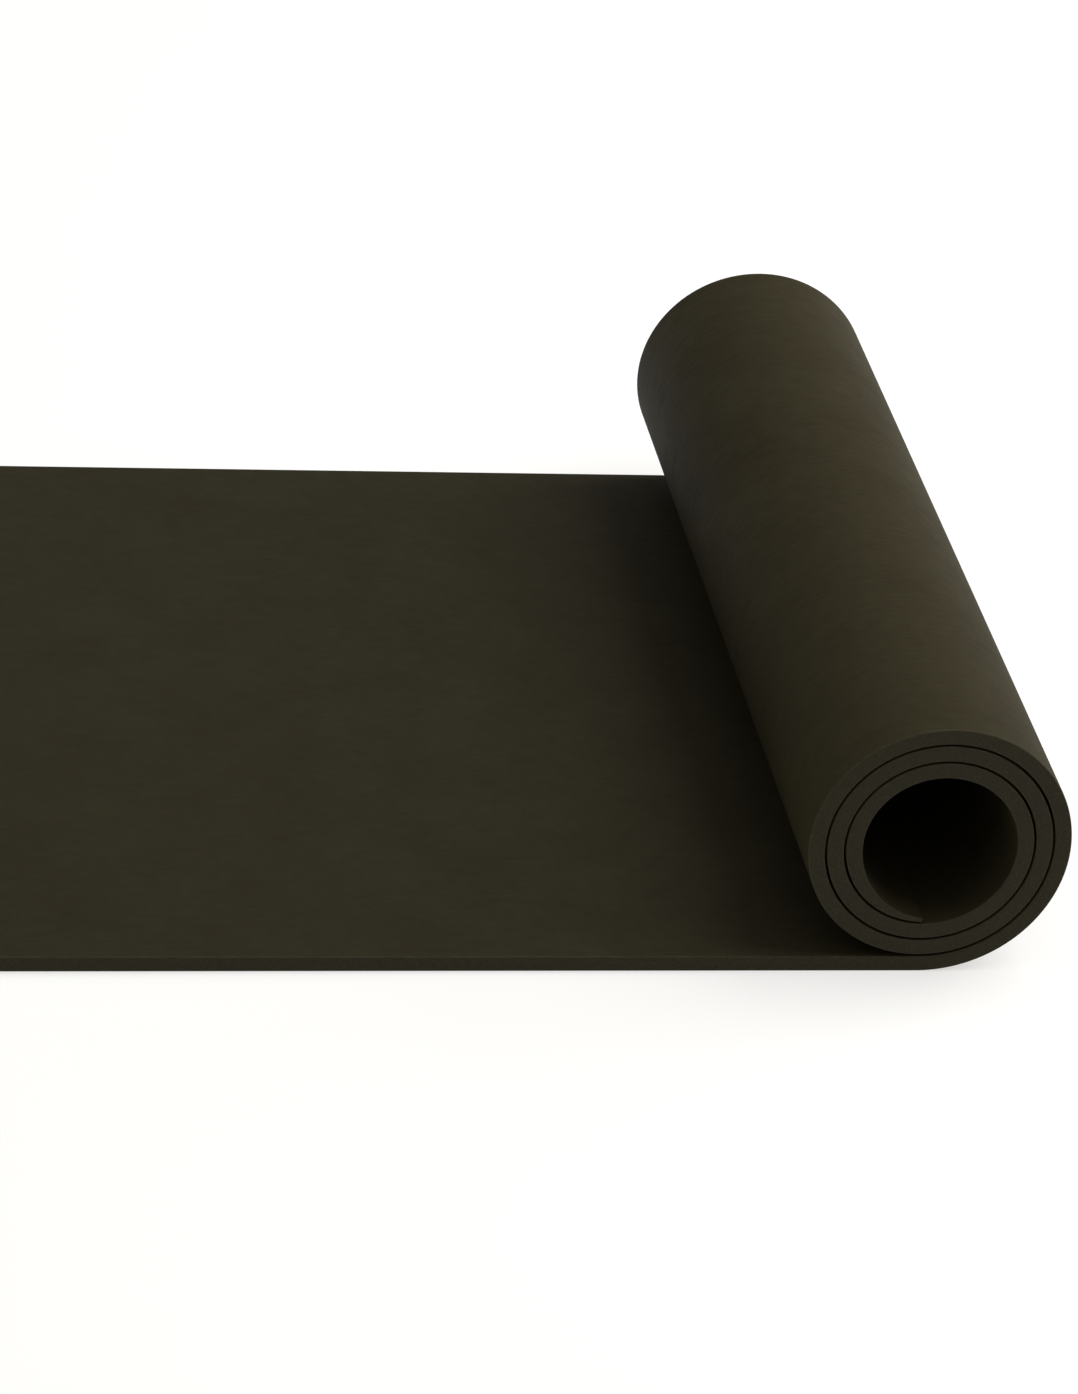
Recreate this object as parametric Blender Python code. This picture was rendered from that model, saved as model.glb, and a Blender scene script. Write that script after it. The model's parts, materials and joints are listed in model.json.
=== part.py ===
"""Practice putting mat, lying flat at one end and rolled up at the other.

The mat is a laminate of a thin playing surface on a foam base. It is divided
crosswise into lengths that hinge on each other, so that it can unroll: a free
end, a flat run, and arcs of 45 degrees that make up the roll.
X runs along the mat towards the roll, Y across it, Z up. The floor is z = 0.
"""

import math

import bmesh
import bpy
from mathutils import Matrix, Vector

# Driving dimensions, in metres
MAT_WIDTH = 0.610
MAT_THICKNESS = 0.0095
SURFACE_THICKNESS = 0.0012
FLAT_LENGTH = 0.700
FREE_END_LENGTH = 0.300
FIRST_BEND_RADIUS = 0.081
TURN_GAP = 0.0013
NODE_GAP = 0.0003
TURNS = 3
ARCS_PER_TURN = 8
FACETS_PER_ARC = 6
END_TAPER_ARCS = 2
END_THICKNESS = 0.002

BASE_COLOUR = (0.034, 0.028, 0.013, 1.0)
SURFACE_COLOUR = (0.024, 0.020, 0.009, 1.0)
FOAM_ROUGHNESS = 0.9
SHARP_ANGLE = math.radians(30)
EMPTY_SIZE = 0.02

ARC_ANGLE = 2 * math.pi / ARCS_PER_TURN
PITCH = MAT_THICKNESS + TURN_GAP
RADIUS_STEP = PITCH / ARCS_PER_TURN
ARC_COUNT = TURNS * ARCS_PER_TURN
TURN_NAMES = ("outer", "middle", "inner")


def arcs(tangent_x):
    """(centre, underside radius, start angle, end angle) of each arc, from the flat run inwards.

    Angles are turned through since the floor. The flat run ends with half an
    arc, and the mat's inner end is the other half. Neighbouring arcs share a
    tangent, so each centre lies on the line from the last one to their joint.
    """
    found = []
    centre = Vector((tangent_x, 0, FIRST_BEND_RADIUS))
    start = 0.0
    for number in range(ARC_COUNT + 1):
        radius = FIRST_BEND_RADIUS - number * RADIUS_STEP
        end = min((number + 0.5) * ARC_ANGLE, TURNS * 2 * math.pi)
        found.append((centre.copy(), radius, start, end))
        centre += outward(end) * RADIUS_STEP
        start = end
    return found


def outward(angle):
    """Direction from an arc's centre to its underside, after the mat has turned through angle."""
    return Vector((math.sin(angle), 0, -math.cos(angle)))


def reach_right():
    """How far the roll reaches past the line where the mat leaves the floor."""
    quarter = math.pi / 2
    for centre, radius, start, end in arcs(0.0):
        if start <= quarter <= end:
            return centre.x + radius


# The footprint is centred on the origin
TANGENT_X = (FLAT_LENGTH - reach_right()) / 2
LEFT_X = TANGENT_X - FLAT_LENGTH
LIFT_X = LEFT_X + FREE_END_LENGTH


def thickness_left(angle):
    """Share of the full thickness at an angle: the inner end is skived so that it lies close."""
    to_end = TURNS * 2 * math.pi - angle
    share = min(to_end / (END_TAPER_ARCS * ARC_ANGLE), 1.0)
    thin = END_THICKNESS / MAT_THICKNESS
    return thin + (1 - thin) * math.sin(share * math.pi / 2)


def layer_depths(layer, scale=1.0):
    """Distances of a layer's two faces from the underside."""
    surface_bottom = (MAT_THICKNESS - SURFACE_THICKNESS) * scale
    if layer == "surface":
        return surface_bottom, MAT_THICKNESS * scale
    return 0.0, surface_bottom - NODE_GAP


def foam_material(name, colour):
    material = bpy.data.materials.new(name)
    material.use_nodes = True
    shader = material.node_tree.nodes["Principled BSDF"]
    shader.inputs["Base Color"].default_value = colour
    shader.inputs["Roughness"].default_value = FOAM_ROUGHNESS
    shader.inputs["Metallic"].default_value = 0.0
    return material


def add_node(name, mesh_data, layer, pivot):
    """An object with its own material, whose parent empty stands on its joint's axis."""
    mesh = bpy.data.meshes.new(name)
    mesh_data.transform(Matrix.Translation(-pivot))
    mesh_data.to_mesh(mesh)
    mesh_data.free()
    mesh.shade_smooth()
    mesh.set_sharp_from_angle(angle=SHARP_ANGLE)
    colour = SURFACE_COLOUR if layer == "surface" else BASE_COLOUR
    mesh.materials.append(foam_material(name, colour))
    node = bpy.data.objects.new(name, mesh)
    bpy.context.scene.collection.objects.link(node)
    return node


def add_body(name, pivot):
    empty = bpy.data.objects.new(name + "_joint", None)
    empty.location = pivot
    empty.empty_display_size = EMPTY_SIZE
    bpy.context.scene.collection.objects.link(empty)
    return empty


def section(bm, corners):
    """A face across the mat's thickness at its near edge, from (x, z) corners."""
    return bm.faces.new([bm.verts.new((x, -MAT_WIDTH / 2, z)) for x, z in corners])


def widen(bm):
    """The near-edge outline is extruded across the mat."""
    outline = list(bm.faces)
    grown = bmesh.ops.extrude_face_region(bm, geom=outline)
    moved = [v for v in grown["geom"] if isinstance(v, bmesh.types.BMVert)]
    bmesh.ops.translate(bm, verts=moved, vec=(0, MAT_WIDTH, 0))
    bmesh.ops.recalc_face_normals(bm, faces=bm.faces)


def bent_points(arc, depth_of, start, end):
    """Points along an arc at a depth above the underside, which may change with the angle."""
    centre, radius = arc[0], arc[1]
    steps = max(round((end - start) / ARC_ANGLE * FACETS_PER_ARC), 2)
    points = []
    for step in range(steps + 1):
        angle = start + (end - start) * step / steps
        at = centre + outward(angle) * (radius - depth_of(angle))
        points.append((at.x, at.z))
    return points


def trim(arc):
    """Angle that takes half a gap off an arc's end at its inner face."""
    return NODE_GAP / 2 / (arc[1] - MAT_THICKNESS)


def arc_mesh(arc, layer, last):
    """One length of the roll."""
    start = arc[2] + trim(arc)
    end = arc[3] - (0 if last else trim(arc))
    low = bent_points(arc, lambda a: layer_depths(layer, thickness_left(a))[0], start, end)
    high = bent_points(arc, lambda a: layer_depths(layer, thickness_left(a))[1], start, end)
    bm = bmesh.new()
    section(bm, low + high[::-1])
    widen(bm)
    return bm


def flat_mesh(arc, layer, left, with_bend):
    """A flat length from left, which ends at the lift joint or runs on into the first bend."""
    low, high = layer_depths(layer)
    if with_bend:
        end = arc[3] - trim(arc)
        right_low = bent_points(arc, lambda a: low, 0.0, end)
        right_high = bent_points(arc, lambda a: high, 0.0, end)
    else:
        right = LIFT_X - NODE_GAP / 2
        right_low = [(right, low)]
        right_high = [(right, high)]
    bm = bmesh.new()
    section(bm, [(left, low)] + right_low + right_high[::-1] + [(left, high)])
    widen(bm)
    return bm


def add_pair(name, body, pivot, make):
    """The base and the playing surface of one length of mat."""
    for layer in ("base", "surface"):
        node = add_node(f"{name}_{layer}", make(layer), layer, pivot)
        node.parent = body


def main():
    for old in list(bpy.data.objects):
        bpy.data.objects.remove(old, do_unlink=True)
    bends = arcs(TANGENT_X)
    lift_pivot = Vector((LIFT_X, 0, MAT_THICKNESS))
    lift = add_body("free_end", lift_pivot)
    add_pair("free_end", lift, lift_pivot, lambda k: flat_mesh(bends[0], k, LEFT_X, False))
    floor = add_body("flat_run", Vector())
    left = LIFT_X + NODE_GAP / 2
    add_pair("flat_run", floor, Vector(), lambda k: flat_mesh(bends[0], k, left, True))
    parent, parent_pivot = floor, Vector()
    for number, bend in enumerate(bends[1:]):
        turn = TURN_NAMES[number // ARCS_PER_TURN]
        name = f"{turn}_turn_{number % ARCS_PER_TURN + 1}"
        pivot = bend[0] + outward(bend[2]) * bend[1]
        body = add_body(name, pivot - parent_pivot)
        body.parent = parent
        last = number + 1 == ARC_COUNT
        add_pair(name, body, pivot, lambda k: arc_mesh(bend, k, last))
        parent, parent_pivot = body, pivot


main()
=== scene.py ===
import json
import math

import bmesh
import bpy
from mathutils import Matrix, Vector

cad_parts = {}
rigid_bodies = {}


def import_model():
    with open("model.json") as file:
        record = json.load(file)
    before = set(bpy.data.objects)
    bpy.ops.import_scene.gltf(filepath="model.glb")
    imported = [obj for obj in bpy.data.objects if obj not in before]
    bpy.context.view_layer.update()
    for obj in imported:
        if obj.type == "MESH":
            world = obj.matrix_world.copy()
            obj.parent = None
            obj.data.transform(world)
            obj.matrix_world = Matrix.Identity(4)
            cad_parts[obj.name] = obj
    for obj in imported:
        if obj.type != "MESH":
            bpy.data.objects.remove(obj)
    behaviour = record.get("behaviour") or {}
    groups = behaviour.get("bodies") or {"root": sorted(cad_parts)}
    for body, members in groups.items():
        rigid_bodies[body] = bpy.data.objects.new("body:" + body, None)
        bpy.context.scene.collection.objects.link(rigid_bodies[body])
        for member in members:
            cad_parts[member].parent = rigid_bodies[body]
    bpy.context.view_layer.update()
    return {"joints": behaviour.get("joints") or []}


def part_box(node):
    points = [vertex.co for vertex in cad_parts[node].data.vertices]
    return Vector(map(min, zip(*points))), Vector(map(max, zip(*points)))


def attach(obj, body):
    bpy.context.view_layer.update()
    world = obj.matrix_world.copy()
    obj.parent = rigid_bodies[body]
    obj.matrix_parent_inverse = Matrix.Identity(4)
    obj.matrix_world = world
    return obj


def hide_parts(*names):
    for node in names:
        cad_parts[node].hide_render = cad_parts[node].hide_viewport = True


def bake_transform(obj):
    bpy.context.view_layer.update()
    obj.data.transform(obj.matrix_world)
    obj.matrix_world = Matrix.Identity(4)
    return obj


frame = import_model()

scene = bpy.context.scene


# What the frame says about the mat. Joint lines lie on the underside, halfway through each bend.
joints = {j["child"]: j for j in frame["joints"]}
chain = ["flat_run"]
while True:
    following = [j["child"] for j in frame["joints"] if j["parent"] == chain[-1] and j["child"] != "free_end"]
    if not following:
        break
    chain.append(following[0])

jointAt = [Vector(joints[body]["pos_m"]) for body in chain[1:]]
arcAngle = math.radians(joints[chain[1]]["range_deg"][1])
arcsPerTurn = round(2 * math.pi / arcAngle)
turns = (len(chain) - 1) // arcsPerTurn
pitch = (jointAt[0] - jointAt[arcsPerTurn]).length
radiusStep = pitch / arcsPerTurn
firstRadius = jointAt[0].z / (1 - math.cos(arcAngle / 2))
tangentX = jointAt[0].x - firstRadius * math.sin(arcAngle / 2)
rolledAngle = turns * 2 * math.pi
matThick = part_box("free_end_surface")[1].z
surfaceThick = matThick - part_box("free_end_surface")[0].z
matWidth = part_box("free_end_base")[1].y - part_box("free_end_base")[0].y
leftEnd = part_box("free_end_base")[0].x
liftAt = Vector(joints["free_end"]["pos_m"])
print("frame read:", len(chain), "lengths,", turns, "turns")


mat = {
    "arris": 0.0010,         # rounding of the long edges
    "arrisSteps": 4,
    "arcSteps": 16,          # facets in each bend of 45 degrees
    "endFacet": 0.004,       # angle of the thin facet at each end of a bend, so that normals meet
    "liftReach": 0.060,      # how far each side of its line the free end bends
    "liftSteps": 24,
    "flatSteps": 8,
    "skiveBends": 2,         # the inner end thins over this many bends
    "skiveThick": 0.002,
    "endArris": 0.0006,
    "endArrisSteps": 3,
    "edgeFacing": 0.9,       # faces turned this far to the side are the mat's cut edges
    "sharpAngle": 35,
}
slack = {"match": 1e-6, "skive": 1e-5, "seam": 1e-4}    # for comparing places in metres and angles in radians


def outward(angle):
    return Vector((math.sin(angle), 0, -math.cos(angle)))


def makeBends():
    # each bend shares a tangent with the last, and its radius is a step smaller
    bends = []
    centre = Vector((tangentX, 0, firstRadius))
    start = 0.0
    for number in range(len(chain)):
        radius = firstRadius - number * radiusStep
        end = min((number + 0.5) * arcAngle, rolledAngle)
        bends.append({"centre": centre.copy(), "radius": radius, "start": start, "end": end})
        centre += outward(end) * radiusStep
        start = end
    return bends


bends = makeBends()


def bendAt(angle):
    for bend in bends:
        if angle <= bend["end"] + slack["match"]:
            return bend
    return bends[-1]


def thicknessShare(angle):
    # 1 along most of the mat, and less where its inner end is skived
    left = min((rolledAngle - angle) / (mat["skiveBends"] * arcAngle), 1.0)
    thin = mat["skiveThick"] / matThick
    return thin + (1 - thin) * math.sin(max(left, 0.0) * math.pi / 2)


def layerDepths(layer):
    split = matThick - surfaceThick
    return (split, matThick) if layer == "Surface" else (0.0, split)


def roundLongEdges(bm, layer):
    # the corners of the section that lie on the mat's outside
    low, high = layerDepths(layer)
    edge = high if layer == "Surface" else low
    corners = [v for v in bm.verts if abs(v.co.z - edge) < slack["match"]]
    bmesh.ops.bevel(bm, geom=corners, offset=mat["arris"], offset_type="OFFSET", affect="VERTICES",
                    segments=mat["arrisSteps"], profile=0.5, material=-1)


def startSection(layer, x):
    # a face across the mat, standing on the floor at x
    low, high = layerDepths(layer)
    half = matWidth / 2
    bm = bmesh.new()
    corners = [(x, -half, low), (x, half, low), (x, half, high), (x, -half, high)]
    bm.faces.new([bm.verts.new(c) for c in corners])
    roundLongEdges(bm, layer)
    return bm


def growing(faces):
    # the faces with their edges and corners, so that extruding leaves nothing behind inside
    edges = {e for f in faces for e in f.edges}
    corners = {v for f in faces for v in f.verts}
    return list(edges | corners) + list(faces)


def extrudeTo(bm, faces, distance, steps):
    for _ in range(steps):
        grown = bmesh.ops.extrude_face_region(bm, geom=growing(faces))["geom"]
        moved = [g for g in grown if isinstance(g, bmesh.types.BMVert)]
        bmesh.ops.translate(bm, verts=moved, vec=(distance / steps, 0, 0))
        faces = [g for g in grown if isinstance(g, bmesh.types.BMFace)]
    return faces


def spinBy(bm, faces, bend, angle, steps):
    if angle <= 0:
        return faces
    made = bmesh.ops.spin(bm, geom=growing(faces), cent=bend["centre"], axis=(0, -1, 0), dvec=(0, 0, 0),
                          angle=angle, steps=steps, use_merge=False, use_duplicate=False)
    return [g for g in made["geom_last"] if isinstance(g, bmesh.types.BMFace)]


def sweepRoll(bm, faces, start, end):
    # goes round the roll from one angle to another, bend by bend
    thin = mat["endFacet"]
    between = [b["end"] for b in bends if start + slack["match"] < b["end"] < end - slack["match"]]
    stops = [start] + between + [end]
    for low, high in zip(stops, stops[1:]):
        bend = bendAt((low + high) / 2)
        steps = max(round((high - low) / arcAngle * mat["arcSteps"]), 1)
        lead = thin if low == start else 0.0
        tail = thin if high == end else 0.0
        faces = spinBy(bm, faces, bend, lead, 1)
        faces = spinBy(bm, faces, bend, high - low - lead - tail, steps)
        faces = spinBy(bm, faces, bend, tail, 1)
    return faces


def standAt(bm, angle):
    # moves a section from x = 0 on the floor to an angle of the roll
    bmesh.ops.rotate(bm, verts=bm.verts, cent=(0, 0, 0), matrix=Matrix.Rotation(-angle, 3, "Y"))
    bend = bendAt(angle)
    bmesh.ops.translate(bm, verts=bm.verts, vec=bend["centre"] + outward(angle) * bend["radius"])


def skive(bm):
    # thins the inner end towards its underside
    begin = rolledAngle - mat["skiveBends"] * arcAngle
    lastTurn = rolledAngle - 2 * math.pi
    for v in bm.verts:
        for bend in bends[-mat["skiveBends"] - 1:]:
            flat = Vector((v.co.x, 0, v.co.z)) - bend["centre"]
            # the seam slack keeps the very end from counting as the start of the turn
            angle = (math.atan2(flat.x, -flat.z) - slack["seam"]) % (2 * math.pi) + slack["seam"] + lastTurn
            inBend = bend["start"] - slack["skive"] <= angle <= bend["end"] + slack["skive"]
            if inBend and angle > begin:
                depth = bend["radius"] - flat.length
                place = bend["centre"] + outward(angle) * (bend["radius"] - depth * thicknessShare(angle))
                v.co.x, v.co.z = place.x, place.z
                break


def roundEnd(bm, faces):
    # the cut end of the mat: every edge of the cap but the one along the bond
    cap = faces[0]
    bond = max(cap.edges, key=lambda e: e.calc_length())
    cap.material_index = 1
    rounded = [e for e in cap.edges if e != bond]
    bmesh.ops.bevel(bm, geom=rounded, offset=mat["endArris"], offset_type="OFFSET", affect="EDGES",
                    segments=mat["endArrisSteps"], profile=0.5, material=-1)


def finishPiece(bm, name):
    bmesh.ops.recalc_face_normals(bm, faces=bm.faces)
    for face in bm.faces:
        if abs(face.normal.y) > mat["edgeFacing"]:
            face.material_index = 1
    mesh = bpy.data.meshes.new(name)
    bm.to_mesh(mesh)
    bm.free()
    piece = bpy.data.objects.new(name, mesh)
    scene.collection.objects.link(piece)
    mesh.shade_smooth()
    mesh.set_sharp_from_angle(angle=math.radians(mat["sharpAngle"]))
    return piece


def pieceName(body, layer):
    words = body.split("_")
    return words[0] + "".join(w.capitalize() for w in words[1:]) + layer


pieces = []
for layer in ("Base", "Surface"):
    nodeEnd = "_surface" if layer == "Surface" else "_base"
    reach = mat["liftReach"]

    # free end, from its cut end to where it starts to bend
    bm = startSection(layer, liftAt.x - reach)
    roundEnd(bm, extrudeTo(bm, list(bm.faces), leftEnd - liftAt.x + reach, mat["flatSteps"]))
    piece = finishPiece(bm, "freeEnd" + layer)
    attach(piece, "free_end")
    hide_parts("free_end" + nodeEnd)
    pieces.append((piece, layer))

    # the stretch between the free end and the flat run, where the mat bends when the free end lifts; this
    # piece is left unattached and does not bend
    bm = startSection(layer, liftAt.x - reach)
    extrudeTo(bm, list(bm.faces), 2 * reach, mat["liftSteps"])
    piece = finishPiece(bm, "liftBend" + layer)
    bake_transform(piece)
    pieces.append((piece, layer))

    # flat run, up to where the mat leaves the floor
    bm = startSection(layer, liftAt.x + reach)
    extrudeTo(bm, list(bm.faces), tangentX - liftAt.x - reach, mat["flatSteps"])
    piece = finishPiece(bm, "flatRun" + layer)
    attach(piece, "flat_run")
    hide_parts("flat_run" + nodeEnd)
    pieces.append((piece, layer))

    # the roll: each piece runs from the middle of one length to the middle of the next
    for number in range(1, len(chain)):
        start = (number - 1) * arcAngle
        end = number * arcAngle
        bm = startSection(layer, 0.0)
        standAt(bm, start)
        last = sweepRoll(bm, list(bm.faces), start, end)
        if number == len(chain) - 1:
            roundEnd(bm, last)
        if end > rolledAngle - mat["skiveBends"] * arcAngle:
            skive(bm)
        piece = finishPiece(bm, pieceName(chain[number], layer))
        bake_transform(piece)
        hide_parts(chain[number] + nodeEnd)
        pieces.append((piece, layer))
print("mat made:", len(pieces), "pieces")


def startGroup(name, inputs, outputs):
    # a node group, its inputs by name, and its output node
    group = bpy.data.node_groups.new(name, "ShaderNodeTree")
    for label in inputs:
        group.interface.new_socket(label, in_out="INPUT", socket_type="NodeSocketFloat")
    for label in outputs:
        group.interface.new_socket(label, in_out="OUTPUT", socket_type="NodeSocketFloat")
    return group, group.nodes.new("NodeGroupInput").outputs, group.nodes.new("NodeGroupOutput")


def setSocket(tree, socket, value):
    # a value, or the output that drives the socket
    if isinstance(value, bpy.types.NodeSocket):
        tree.links.new(value, socket)
    else:
        socket.default_value = value


def addNode(tree, kind, settings=None, **sockets):
    node = tree.nodes.new("ShaderNode" + kind)
    for label, value in (settings or {}).items():
        setattr(node, label, value)
    for label, value in sockets.items():
        setSocket(tree, node.inputs[label], value)
    return node


def calculate(tree, operation, *values, clamp=False):
    node = addNode(tree, "Math", {"operation": operation, "use_clamp": clamp})
    for socket, value in zip(node.inputs, values):
        setSocket(tree, socket, value)
    return node.outputs[0]


def mixColour(tree, share, low, high):
    # the node's colour sockets are inputs 6 and 7 and output 2
    node = addNode(tree, "Mix", {"data_type": "RGBA"})
    setSocket(tree, node.inputs[0], share)
    for socket, value in zip(node.inputs[6:8], (low, high)):
        setSocket(tree, socket, value if isinstance(value, bpy.types.NodeSocket) else (*value, 1))
    return node.outputs[2]


def objectPlace(tree, stretch=(1, 1, 1)):
    place = addNode(tree, "TexCoord").outputs["Object"]
    return addNode(tree, "Mapping", Vector=place, Scale=stretch).outputs[0]


def noise(tree, place, scale, detail, roughness):
    node = addNode(tree, "TexNoise", Vector=place, Scale=scale, Detail=detail, Roughness=roughness)
    return node.outputs["Fac"]


def spots(tree, place, scale):
    # distance to the nearest of a scatter of points
    return addNode(tree, "TexVoronoi", {"feature": "F1"}, Vector=place, Scale=scale).outputs["Distance"]


# tone: slow unevenness, small blotches, and short streaks along the mat from the rollers that pressed it
unevenness = {
    "clouds": 0.45, "blotches": 0.25, "streaks": 0.30,    # shares
    "cloudDetail": 4, "blotchDetail": 3, "streakDetail": 2, "roughness": 0.6,
    "streakStretch": (60, 420, 60), "contrast": 2.8, "darkest": -0.9,
}
toneGroup, size, out = startGroup("unevenTone", ["Cloud scale", "Blotch scale"], ["Tone"])
place = objectPlace(toneGroup)
stretched = objectPlace(toneGroup, unevenness["streakStretch"])
clouds = noise(toneGroup, place, size["Cloud scale"], unevenness["cloudDetail"], unevenness["roughness"])
blotches = noise(toneGroup, place, size["Blotch scale"], unevenness["blotchDetail"], unevenness["roughness"])
streaks = noise(toneGroup, stretched, 1, unevenness["streakDetail"], unevenness["roughness"])
tone = calculate(toneGroup, "MULTIPLY", clouds, unevenness["clouds"])
tone = calculate(toneGroup, "MULTIPLY_ADD", blotches, unevenness["blotches"], tone)
tone = calculate(toneGroup, "MULTIPLY_ADD", streaks, unevenness["streaks"], tone)
tone = calculate(toneGroup, "MULTIPLY_ADD", tone, unevenness["contrast"], unevenness["darkest"], clamp=True)
setSocket(toneGroup, out.inputs["Tone"], tone)

# grain: the fine height of a pressed foam face, with sparse pores
pore = {
    "reach": 0.13, "depth": 0.8, "fineDetail": 4, "fineRoughness": 0.65,
    "patchScale": 70, "patchDetail": 2, "patchRoughness": 0.55, "patchFrom": 0.56,
}
grainGroup, size, out = startGroup("foamGrain", ["Grain scale", "Pore scale"], ["Height", "Pores"])
place = objectPlace(grainGroup)
fine = noise(grainGroup, place, size["Grain scale"], pore["fineDetail"], pore["fineRoughness"])
pores = calculate(grainGroup, "LESS_THAN", spots(grainGroup, place, size["Pore scale"]), pore["reach"])
patches = noise(grainGroup, place, pore["patchScale"], pore["patchDetail"], pore["patchRoughness"])
patches = calculate(grainGroup, "GREATER_THAN", patches, pore["patchFrom"])
pores = calculate(grainGroup, "MULTIPLY", pores, patches)
sunk = calculate(grainGroup, "SUBTRACT", fine, calculate(grainGroup, "MULTIPLY", pores, pore["depth"]))
setSocket(grainGroup, out.inputs["Height"], sunk)
setSocket(grainGroup, out.inputs["Pores"], pores)

# edge wear on the long edges, lightened in colour as wear and also as a painted highlight along the rounded
# edge, and lint
wearAndHighlight = {
    "patchScale": 160, "patchDetail": 4, "patchRoughness": 0.7, "contrast": 1.6, "start": -0.25,
    "lintReach": 0.035,
}
edgeGroup, size, out = startGroup("edgeWear", ["Width", "Lint scale"], ["Wear", "Lint"])
place = objectPlace(edgeGroup)
across = addNode(edgeGroup, "SeparateXYZ", Vector=place).outputs["Y"]
inward = calculate(edgeGroup, "SUBTRACT", matWidth / 2, calculate(edgeGroup, "ABSOLUTE", across))
near = calculate(edgeGroup, "SUBTRACT", 1, calculate(edgeGroup, "DIVIDE", inward, size["Width"]), clamp=True)
scuffsAndHighlight = noise(edgeGroup, place, wearAndHighlight["patchScale"], wearAndHighlight["patchDetail"], wearAndHighlight["patchRoughness"])
scuffsAndHighlight = calculate(edgeGroup, "MULTIPLY_ADD", scuffsAndHighlight, wearAndHighlight["contrast"], wearAndHighlight["start"], clamp=True)
lint = calculate(edgeGroup, "LESS_THAN", spots(edgeGroup, place, size["Lint scale"]), wearAndHighlight["lintReach"])
setSocket(edgeGroup, out.inputs["Wear"], calculate(edgeGroup, "MULTIPLY", near, scuffsAndHighlight))
setSocket(edgeGroup, out.inputs["Lint"], lint)

# open cells: foam that a knife went through; the hollows of the cells are darker in colour, painted shade
openCell = {
    "walls": 0.9, "drag": 0.35, "dragScale": 240, "dragDetail": 3, "dragRoughness": 0.7,
    "contrast": 1.1, "darkest": -0.15,
}
cellGroup, size, out = startGroup("openCells", ["Cell scale"], ["Height", "Shade"])
place = objectPlace(cellGroup)
drag = noise(cellGroup, place, openCell["dragScale"], openCell["dragDetail"], openCell["dragRoughness"])
drag = calculate(cellGroup, "MULTIPLY", drag, openCell["drag"])
walls = spots(cellGroup, place, size["Cell scale"])
walls = calculate(cellGroup, "MULTIPLY_ADD", walls, openCell["walls"], drag)
shade = calculate(cellGroup, "MULTIPLY_ADD", walls, openCell["contrast"], openCell["darkest"], clamp=True)
setSocket(cellGroup, out.inputs["Height"], walls)
setSocket(cellGroup, out.inputs["Shade"], shade)
print("node groups made")


def useGroup(tree, group, **values):
    node = addNode(tree, "Group", {"node_tree": group})
    for label, value in values.items():
        node.inputs[label.replace("_", " ")].default_value = value
    return node.outputs


def startMaterial(name, look):
    material = bpy.data.materials.new(name)
    material.use_nodes = True
    shader = material.node_tree.nodes["Principled BSDF"]
    shader.inputs["Specular IOR Level"].default_value = look["specular"]
    return material, material.node_tree, shader.inputs


def pressedFoam(name, look):
    # a face that a heated roller closed
    material, tree, shader = startMaterial(name, look)
    tone = useGroup(tree, toneGroup, Cloud_scale=look["clouds"], Blotch_scale=look["blotches"])["Tone"]
    grain = useGroup(tree, grainGroup, Grain_scale=look["grain"], Pore_scale=look["pores"])
    edge = useGroup(tree, edgeGroup, Width=look["wearWidth"], Lint_scale=look["lints"])
    # painted shade: where the grain dips, and in the sunk pores, the colour is mixed towards the dark pore
    # colour
    dipShade = calculate(tree, "MULTIPLY_ADD", grain["Height"], -look["dipContrast"], look["dipLevel"],
                     clamp=True)
    colour = mixColour(tree, tone, look["dark"], look["light"])
    colour = mixColour(tree, dipShade, colour, look["pore"])
    for mask, depth, over in ((grain["Pores"], look["poreDepth"], look["pore"]),
                              # edge wear with a painted highlight: the long edges are lightened in colour
                              (edge["Wear"], look["wearDepth"], look["worn"]),
                              (edge["Lint"], look["lintDepth"], look["lint"])):
        colour = mixColour(tree, calculate(tree, "MULTIPLY", mask, depth), colour, over)
    setSocket(tree, shader["Base Color"], colour)
    rough = calculate(tree, "MULTIPLY_ADD", grain["Height"], look["grainRough"], look["roughness"])
    setSocket(tree, shader["Roughness"], calculate(tree, "MULTIPLY_ADD", tone, -look["toneRough"], rough))
    swell = addNode(tree, "Bump", Strength=look["swell"], Distance=look["swellDeep"], Height=tone)
    bump = addNode(tree, "Bump", Strength=look["bump"], Distance=look["grainDeep"], Height=grain["Height"],
                   Normal=swell.outputs[0])
    setSocket(tree, shader["Normal"], bump.outputs[0])
    return material


def cutFoam(name, look):
    # foam where a knife cut it
    material, tree, shader = startMaterial(name, look)
    tone = useGroup(tree, toneGroup, Cloud_scale=look["clouds"], Blotch_scale=look["blotches"])["Tone"]
    cells = useGroup(tree, cellGroup, Cell_scale=look["cells"])
    # painted shade: the hollows of the cut cells take the dark colour
    colour = mixColour(tree, cells["Shade"], look["dark"], look["light"])
    colour = mixColour(tree, calculate(tree, "MULTIPLY", tone, look["rubDepth"]), colour, look["rubbed"])
    setSocket(tree, shader["Base Color"], colour)
    rough = calculate(tree, "MULTIPLY_ADD", cells["Shade"], -look["cellRough"], look["roughness"])
    setSocket(tree, shader["Roughness"], rough)
    bump = addNode(tree, "Bump", Strength=look["bump"], Distance=look["grainDeep"], Height=cells["Height"])
    setSocket(tree, shader["Normal"], bump.outputs[0])
    return material


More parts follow.
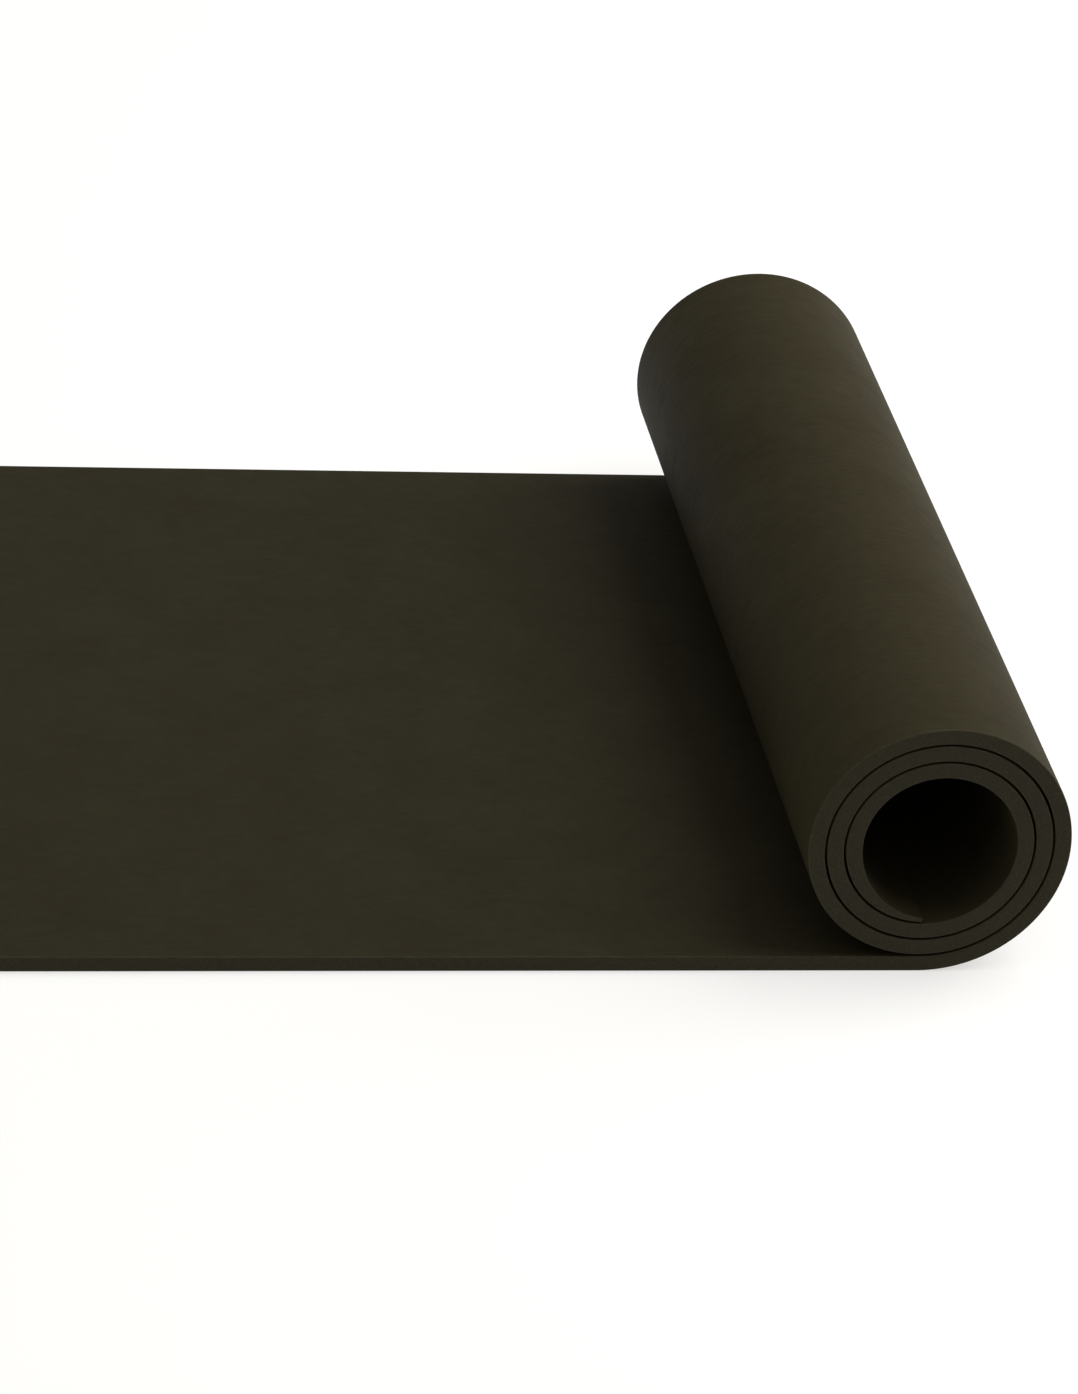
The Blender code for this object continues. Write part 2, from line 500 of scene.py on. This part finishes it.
# scales are per metre, depths and widths in metres
playingFace = {
    # pore: a dark colour used as painted shade in the pores and the dips of the grain
    "dark": (0.0208, 0.0167, 0.0070), "light": (0.0280, 0.0240, 0.0108), "pore": (0.0060, 0.0050, 0.0030),
    # worn: a lighter colour for edge wear, also a painted highlight along the rounded edge
    "worn": (0.0520, 0.0460, 0.0300), "lint": (0.0600, 0.0560, 0.0450),
    "poreDepth": 0.5, "wearDepth": 0.9, "lintDepth": 0.5, "wearWidth": 0.0016,
    "clouds": 18, "blotches": 95, "grain": 900, "pores": 420, "lints": 240,
    "dipContrast": 0.9, "dipLevel": 0.52, "roughness": 0.66, "grainRough": 0.12, "toneRough": 0.06,
    "bump": 0.7, "grainDeep": 0.0002, "swell": 0.5, "swellDeep": 0.0008, "specular": 0.10,
}
# the underside is lighter than the playing face: partly a lighter foam of its own, partly painted light for
# the lit outside of the roll, which shows this face
undersideFace = {
    # pore: a dark colour used as painted shade in the pores and the dips of the grain
    "dark": (0.0280, 0.0226, 0.0104), "light": (0.0392, 0.0332, 0.0160), "pore": (0.0090, 0.0080, 0.0050),
    # worn: a lighter colour for edge wear, also a painted highlight along the rounded edge
    "worn": (0.0600, 0.0530, 0.0360), "lint": (0.0700, 0.0650, 0.0520),
    "poreDepth": 0.5, "wearDepth": 0.9, "lintDepth": 0.4, "wearWidth": 0.0016,
    "clouds": 18, "blotches": 95, "grain": 800, "pores": 380, "lints": 240,
    "dipContrast": 0.9, "dipLevel": 0.52, "roughness": 0.68, "grainRough": 0.12, "toneRough": 0.06,
    "bump": 0.7, "grainDeep": 0.0002, "swell": 0.5, "swellDeep": 0.0008, "specular": 0.055,
}
cutEdge = {
    # dark: painted shade in the hollows of the cut cells
    "dark": (0.0150, 0.0135, 0.0070), "light": (0.0350, 0.0318, 0.0182), "rubbed": (0.0290, 0.0262, 0.0152),
    "rubDepth": 0.35, "clouds": 18, "blotches": 95, "cells": 1150,
    "roughness": 0.85, "cellRough": 0.08, "bump": 0.5, "grainDeep": 0.0003, "specular": 0.1,
}
faceOf = {"Surface": pressedFoam("playingFace", playingFace), "Base": pressedFoam("underside", undersideFace)}
knifeCut = cutFoam("knifeCut", cutEdge)
for piece, layer in pieces:
    piece.data.materials.append(faceOf[layer])
    piece.data.materials.append(knifeCut)
print("materials made")


# floor: a white table lit from within, so that shadows on it stay faint
table = {
    "paint": (0.42, 0.417, 0.405), "roughness": 0.9, "specular": 0.0,
    "glow": (1.0, 0.995, 0.98), "glowPower": 0.59, "reach": 40.0,
}
bm = bmesh.new()
bmesh.ops.create_grid(bm, x_segments=1, y_segments=1, size=table["reach"])
tableMesh = bpy.data.meshes.new("tableTop")
bm.to_mesh(tableMesh)
bm.free()
tableTop = bpy.data.objects.new("tableTop", tableMesh)
scene.collection.objects.link(tableTop)
material, tree, shader = startMaterial("litTable", table)
shader["Base Color"].default_value = (*table["paint"], 1)
shader["Roughness"].default_value = table["roughness"]
shader["Emission Color"].default_value = (*table["glow"], 1)
shader["Emission Strength"].default_value = table["glowPower"]
tableMesh.materials.append(material)

# lamps: a broad one high on the right, and a weak low one that skims the roll's right side
lamps = {
    "key": {"place": (2.90, 0.15, 4.15), "aim": (0.25, 0, 0), "size": 3.5, "power": 160},
    "skim": {"place": (2.20, 0.50, 0.75), "aim": (0.30, 0, 0.10), "size": 1.1, "power": 22},
}
for name, look in lamps.items():
    lampData = bpy.data.lights.new(name, "AREA")
    lampData.shape = "SQUARE"
    lampData.size = look["size"]
    lampData.energy = look["power"]
    lamp = bpy.data.objects.new(name, lampData)
    lamp.location = look["place"]
    lamp.rotation_euler = (Vector(look["aim"]) - Vector(look["place"])).to_track_quat("-Z", "Y").to_euler()
    scene.collection.objects.link(lamp)

# the sky is brighter overhead than at the horizon
sky = {"low": 0.12, "high": 0.70, "colour": (1.0, 0.995, 0.985, 1)}
world = bpy.data.worlds.new("studio")
world.use_nodes = True
tree = world.node_tree
upward = addNode(tree, "SeparateXYZ", Vector=addNode(tree, "TexCoord").outputs["Generated"]).outputs["Z"]
rising = calculate(tree, "MAXIMUM", upward, 0)
background = tree.nodes["Background"]
background.inputs["Color"].default_value = sky["colour"]
setSocket(tree, background.inputs["Strength"],
          calculate(tree, "MULTIPLY_ADD", rising, sky["high"] - sky["low"], sky["low"]))
scene.world = world
scene.view_settings.view_transform = "Standard"
print("light made")

# view: place in metres, turns in degrees
view = {
    "place": (-0.4199, -2.8987, 1.5981), "down": 28.307, "right": 10.86, "tilt": 5.61,
    "lens": 142.0, "farthest": 200,
}
cameraData = bpy.data.cameras.new("camera")
cameraData.lens = view["lens"]
cameraData.clip_end = view["farthest"]
camera = bpy.data.objects.new("camera", cameraData)
turn = Matrix.Rotation(math.radians(-view["right"]), 4, "Z")
turn = turn @ Matrix.Rotation(math.radians(90 - view["down"]), 4, "X")
turn = turn @ Matrix.Rotation(math.radians(view["tilt"]), 4, "Z")
camera.matrix_world = Matrix.Translation(view["place"]) @ turn
scene.collection.objects.link(camera)
scene.camera = camera
